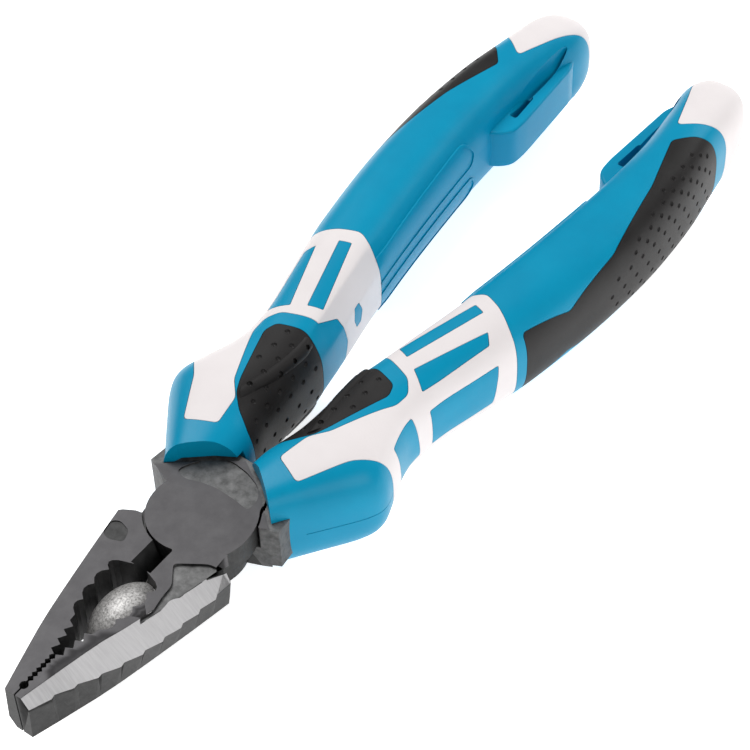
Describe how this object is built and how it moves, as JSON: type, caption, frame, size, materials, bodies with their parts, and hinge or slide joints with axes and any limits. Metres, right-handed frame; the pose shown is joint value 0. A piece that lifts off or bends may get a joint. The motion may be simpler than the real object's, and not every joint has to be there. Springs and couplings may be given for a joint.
{
  "type": "lineman pliers",
  "caption": "Combination pliers with serrated jaws, pipe grip and side cutter, lap joint, and multi-component cushioned handles with lanyard loops.",
  "frame": {"origin": "on the pivot axis, at the flat front face of the lap joint", "axes": "+Y from the jaw tips towards the handle ends, +X across the pliers to the right seen from the front face, +Z out of the front face, along the pivot axis"},
  "size_m": [0.0558, 0.1855, 0.0206],
  "materials": {
    "steel": "blackened forged steel with ground bevels",
    "grip_blue": "satin moulded elastomer",
    "grip_light": "satin moulded plastic",
    "grip_black": "dimpled soft elastomer"
  },
  "bodies": {
    "front_half": {"front_lever": "steel", "pivot_rivet": "steel", "left_grip_core": "grip_blue", "left_collar": "grip_light", "left_finger_pad": "grip_black", "left_palm_pad": "grip_black", "left_end_cap": "grip_light"},
    "rear_half": {"rear_lever": "steel", "right_grip_core": "grip_blue", "right_collar": "grip_light", "right_finger_pad": "grip_black", "right_palm_pad": "grip_black", "right_end_cap": "grip_light"}
  },
  "joints": [
    {"name": "main_pivot", "type": "hinge", "parent": "front_half", "child": "rear_half", "pos_m": [0, 0, -0.005], "axis": [0, 0, -1], "range_deg": [0, 36]}
  ]
}
